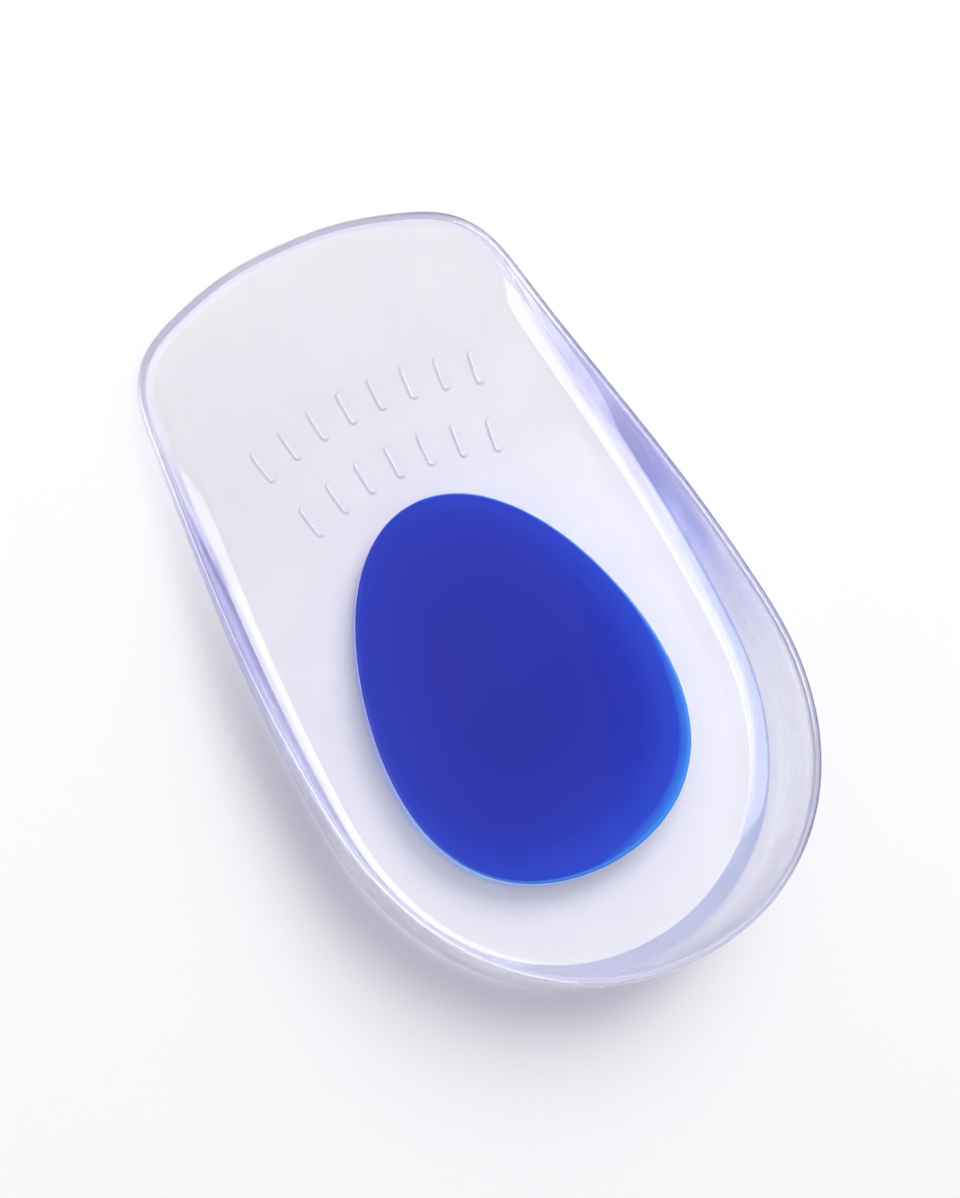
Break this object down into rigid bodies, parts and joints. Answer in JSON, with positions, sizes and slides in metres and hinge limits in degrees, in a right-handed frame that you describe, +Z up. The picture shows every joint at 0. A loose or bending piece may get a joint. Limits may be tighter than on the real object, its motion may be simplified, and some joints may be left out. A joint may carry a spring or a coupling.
{
  "type": "gel heel cup",
  "caption": "Clear soft gel heel cup with a raised heel wall, a thin front edge and an egg-shaped blue cushioning spot under the heel.",
  "frame": {"origin": "on the resting surface, under the middle of the cup's length and width", "axes": "+Z up from the sole, +Y from the back of the heel towards the thin front edge, +X to the right seen from the heel"},
  "size_m": [0.0634, 0.106, 0.0244],
  "materials": {
    "clear_gel": "gloss",
    "blue_gel": "satin"
  },
  "bodies": {
    "root": {"gel_cup": "clear_gel", "heel_spot": "blue_gel"}
  },
  "joints": []
}
